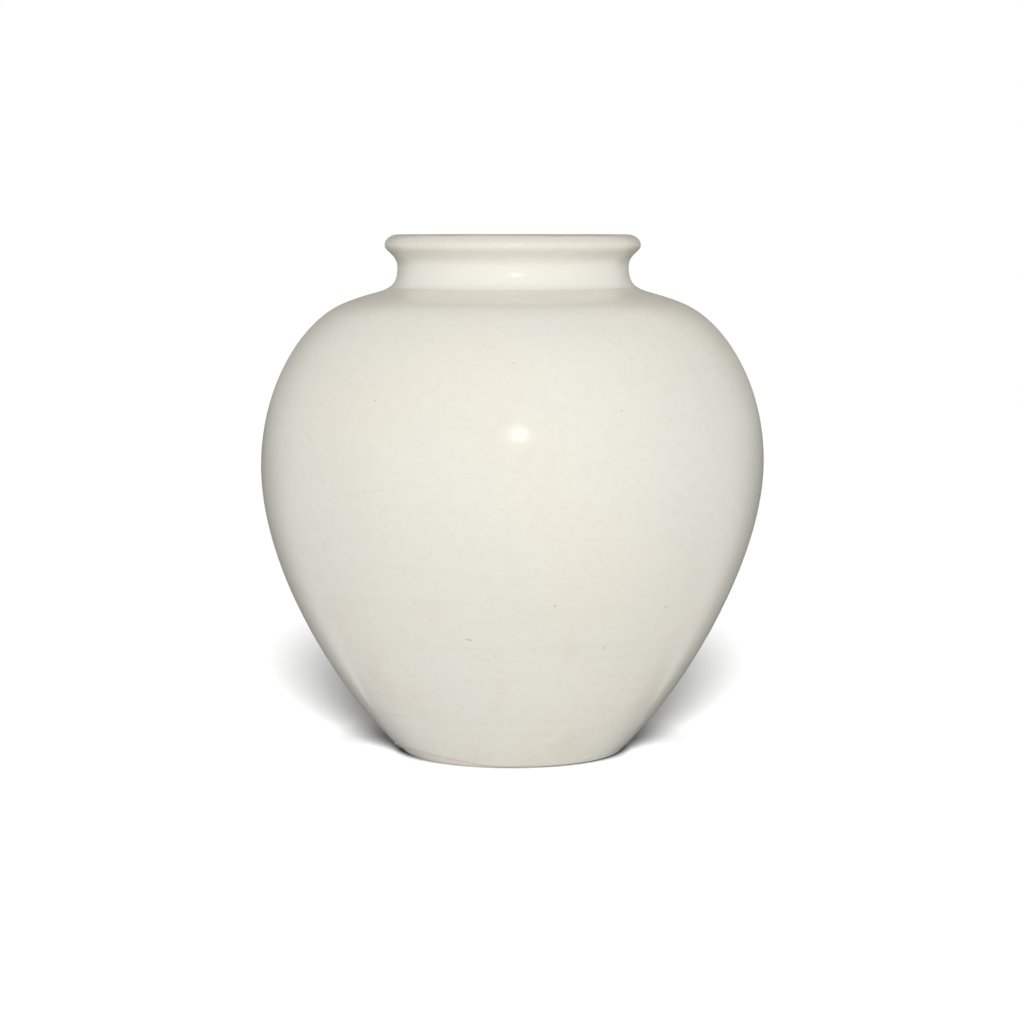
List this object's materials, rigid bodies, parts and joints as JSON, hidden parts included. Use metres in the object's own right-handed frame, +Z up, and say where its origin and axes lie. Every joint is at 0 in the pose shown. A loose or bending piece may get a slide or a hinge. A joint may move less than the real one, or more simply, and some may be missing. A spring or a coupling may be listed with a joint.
{
  "type": "ovoid jar",
  "caption": "Ovoid stoneware jar with an ivory glaze: flat foot, walls that swell to a high round shoulder, short waisted neck and thick rolled lip, open and hollow inside.",
  "frame": {"origin": "centre of the foot's underside, on the plane that the jar stands on", "axes": "+Z up along the axis that the jar was thrown on; the picture looks along +Y with +X to the right; as a body of revolution it is alike along X and Y"},
  "size_m": [0.2908, 0.2908, 0.3],
  "materials": {
    "fired_clay": "matt unglazed buff stoneware, bare only on the foot and base",
    "joining_slip": "matt fired slip, hidden inside the joints",
    "ivory_glaze": "glossy ivory-white glaze with a few fine iron specks"
  },
  "bodies": {
    "root": {"lower_body": "fired_clay", "belly_slip": "joining_slip", "shoulder_dome": "fired_clay", "neck_slip": "joining_slip", "neck_collar": "fired_clay", "outer_glaze": "ivory_glaze", "inner_glaze": "ivory_glaze"}
  },
  "joints": []
}
